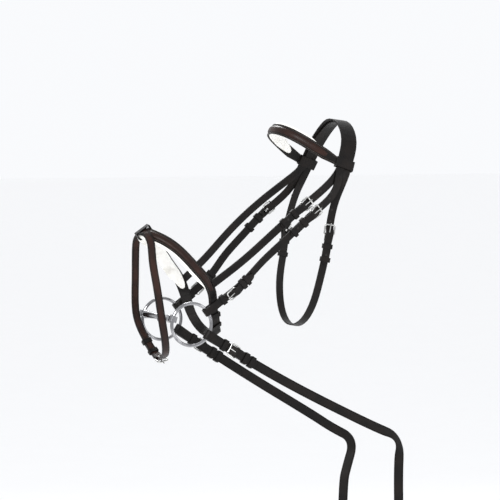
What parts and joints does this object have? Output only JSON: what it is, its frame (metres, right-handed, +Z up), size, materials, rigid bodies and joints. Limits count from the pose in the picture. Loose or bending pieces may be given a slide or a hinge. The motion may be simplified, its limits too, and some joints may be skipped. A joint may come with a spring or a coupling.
{
  "type": "snaffle bridle",
  "caption": "Leather flash noseband bridle with padded browband and noseband, loose ring jointed snaffle bit and buckled reins.",
  "frame": {"origin": "the poll: middle of the underside of the headpiece, where it rests behind the horse's ears", "axes": "-X to the horse's nose, -Y to its left (near) side, +Z up"},
  "size_m": [0.4704, 0.2098, 1.2802],
  "materials": {
    "black_leather": "waxed, low sheen, pricked and stitched edges",
    "brown_black_leather": "raised and polished, dark havana showing at the crown of the curve",
    "white_padding": "soft white padded lining",
    "buckle_steel": "polished stainless",
    "bit_steel": "bright polished stainless"
  },
  "bodies": {
    "headstall": {"crownpiece": "black_leather", "left_cheekpiece": "black_leather", "left_cheek_chape": "black_leather", "right_cheekpiece": "black_leather", "right_cheek_chape": "black_leather", "throatlash": "black_leather", "browband": "brown_black_leather", "browband_padding": "white_padding", "noseband": "brown_black_leather", "noseband_padding": "white_padding", "chin_strap": "black_leather", "sliphead": "black_leather", "noseband_cheek": "black_leather", "flash_strap": "brown_black_leather", "flash_loop": "black_leather", "left_cheek_top_buckle": "buckle_steel", "left_throatlash_buckle": "buckle_steel", "right_cheek_top_buckle": "buckle_steel", "right_throatlash_buckle": "buckle_steel", "left_cheek_bit_buckle": "buckle_steel", "right_cheek_bit_buckle": "buckle_steel", "noseband_buckle": "buckle_steel", "sliphead_buckle": "buckle_steel", "flash_buckle": "buckle_steel", "headstall_keepers": "black_leather"},
    "left_ring": {"left_bit_ring": "bit_steel"},
    "right_ring": {"right_bit_ring": "bit_steel"},
    "left_mouthpiece": {"left_cannon": "bit_steel"},
    "right_mouthpiece": {"right_cannon": "bit_steel"},
    "rein_pair": {"left_rein_billet": "black_leather", "left_rein_chape": "black_leather", "left_rein": "black_leather", "right_rein_billet": "black_leather", "right_rein_chape": "black_leather", "right_rein": "black_leather", "rein_centre_chape": "black_leather", "rein_centre_billet": "black_leather", "left_rein_buckle": "buckle_steel", "right_rein_buckle": "buckle_steel", "rein_centre_buckle": "buckle_steel", "reins_keepers": "black_leather", "rein_centre_keepers": "black_leather"},
    "left_cheek_top_tongue_body": {"left_cheek_top_tongue": "buckle_steel"},
    "left_throatlash_tongue_body": {"left_throatlash_tongue": "buckle_steel"},
    "right_cheek_top_tongue_body": {"right_cheek_top_tongue": "buckle_steel"},
    "right_throatlash_tongue_body": {"right_throatlash_tongue": "buckle_steel"},
    "left_cheek_bit_tongue_body": {"left_cheek_bit_tongue": "buckle_steel"},
    "right_cheek_bit_tongue_body": {"right_cheek_bit_tongue": "buckle_steel"},
    "noseband_tongue_body": {"noseband_tongue": "buckle_steel"},
    "sliphead_tongue_body": {"sliphead_tongue": "buckle_steel"},
    "flash_tongue_body": {"flash_tongue": "buckle_steel"},
    "left_rein_tongue_body": {"left_rein_tongue": "buckle_steel"},
    "right_rein_tongue_body": {"right_rein_tongue": "buckle_steel"},
    "rein_centre_tongue_body": {"rein_centre_tongue": "buckle_steel"},
    "left_cheek_top_runner_body": {"left_cheek_top_runner": "black_leather"},
    "left_cheek_bit_runner_body": {"left_cheek_bit_runner": "black_leather"},
    "right_cheek_top_runner_body": {"right_cheek_top_runner": "black_leather"},
    "right_cheek_bit_runner_body": {"right_cheek_bit_runner": "black_leather"}
  },
  "joints": [
    {"name": "left_ring_spin", "type": "hinge", "parent": "headstall", "child": "left_ring", "pos_m": [-0.2955, -0.068, -0.3342], "axis": [0, 1, 0], "continuous": true},
    {"name": "right_ring_spin", "type": "hinge", "parent": "headstall", "child": "right_ring", "pos_m": [-0.2955, 0.068, -0.3342], "axis": [0, 1, 0], "continuous": true},
    {"name": "left_barrel_swing", "type": "hinge", "parent": "headstall", "child": "left_mouthpiece", "pos_m": [-0.32916, -0.068, -0.32391], "axis": [0.2924, 0, 0.9563], "range_deg": [0, 10.51]},
    {"name": "mouthpiece_link", "type": "hinge", "parent": "left_mouthpiece", "child": "right_mouthpiece", "pos_m": [-0.32342, -0.0028, -0.32566], "axis": [0.2924, 0, 0.9563], "range_deg": [-20.24, 0]},
    {"name": "rein_lift", "type": "hinge", "parent": "headstall", "child": "rein_pair", "pos_m": [-0.2955, 0, -0.3342], "axis": [0, -1, 0], "range_deg": [0, 16]},
    {"name": "left_cheek_top_tongue_hinge", "type": "hinge", "parent": "headstall", "child": "left_cheek_top_tongue_body", "pos_m": [-0.08942, -0.09876, -0.15375], "axis": [0.6285, 0.1357, -0.7658], "range_deg": [0, 10]},
    {"name": "left_throatlash_tongue_hinge", "type": "hinge", "parent": "headstall", "child": "left_throatlash_tongue_body", "pos_m": [-0.05502, -0.09044, -0.1882], "axis": [0.9814, -0.1194, -0.1502], "range_deg": [0, 10]},
    {"name": "right_cheek_top_tongue_hinge", "type": "hinge", "parent": "headstall", "child": "right_cheek_top_tongue_body", "pos_m": [-0.08942, 0.09876, -0.15375], "axis": [-0.6285, 0.1357, 0.7658], "range_deg": [0, 10]},
    {"name": "right_throatlash_tongue_hinge", "type": "hinge", "parent": "headstall", "child": "right_throatlash_tongue_body", "pos_m": [-0.05497, 0.09049, -0.18764], "axis": [-0.98, -0.1207, 0.1583], "range_deg": [0, 10]},
    {"name": "left_cheek_bit_tongue_hinge", "type": "hinge", "parent": "headstall", "child": "left_cheek_bit_tongue_body", "pos_m": [-0.2189, -0.07823, -0.27866], "axis": [-0.6069, -0.3679, 0.7045], "range_deg": [0, 10]},
    {"name": "right_cheek_bit_tongue_hinge", "type": "hinge", "parent": "headstall", "child": "right_cheek_bit_tongue_body", "pos_m": [-0.2189, 0.07823, -0.27866], "axis": [0.6069, -0.3679, -0.7045], "range_deg": [0, 10]},
    {"name": "noseband_tongue_hinge", "type": "hinge", "parent": "headstall", "child": "noseband_tongue_body", "pos_m": [-0.23684, -0.02857, -0.35153], "axis": [-0.8315, -0.0884, -0.5484], "range_deg": [0, 10]},
    {"name": "sliphead_tongue_hinge", "type": "hinge", "parent": "headstall", "child": "sliphead_tongue_body", "pos_m": [-0.1053, -0.09589, -0.14023], "axis": [0.6063, -0.0716, -0.792], "range_deg": [0, 10]},
    {"name": "flash_tongue_hinge", "type": "hinge", "parent": "headstall", "child": "flash_tongue_body", "pos_m": [-0.32289, 0.0114, -0.39426], "axis": [0.9688, 0.0326, 0.2457], "range_deg": [0, 10]},
    {"name": "left_rein_tongue_hinge", "type": "hinge", "parent": "rein_pair", "child": "left_rein_tongue_body", "pos_m": [-0.21477, -0.0735, -0.38465], "axis": [0.5299, 0, 0.848], "range_deg": [0, 10]},
    {"name": "right_rein_tongue_hinge", "type": "hinge", "parent": "rein_pair", "child": "right_rein_tongue_body", "pos_m": [-0.21566, 0.0735, -0.38605], "axis": [-0.5446, 0, -0.8387], "range_deg": [0, 10]},
    {"name": "rein_centre_tongue_hinge", "type": "hinge", "parent": "rein_pair", "child": "rein_centre_tongue_body", "pos_m": [0.06274, -0.00886, -1.2677], "axis": [-0.9286, -0.371, 0], "range_deg": [0, 10]},
    {"name": "left_cheek_top_runner_slide", "type": "slide", "parent": "headstall", "child": "left_cheek_top_runner_body", "axis": [0.7292, -0.0934, 0.6779], "range_m": [0, 0.01]},
    {"name": "left_cheek_bit_runner_slide", "type": "slide", "parent": "headstall", "child": "left_cheek_bit_runner_body", "axis": [0.7002, -0.1436, 0.6994], "range_m": [0, 0.007]},
    {"name": "right_cheek_top_runner_slide", "type": "slide", "parent": "headstall", "child": "right_cheek_top_runner_body", "axis": [0.7292, 0.0934, 0.6779], "range_m": [0, 0.01]},
    {"name": "right_cheek_bit_runner_slide", "type": "slide", "parent": "headstall", "child": "right_cheek_bit_runner_body", "axis": [0.7002, 0.1436, 0.6994], "range_m": [0, 0.007]}
  ],
  "couplings": [
    {"joint": "mouthpiece_link", "follows": "left_barrel_swing", "ratio": -1.9213}
  ]
}
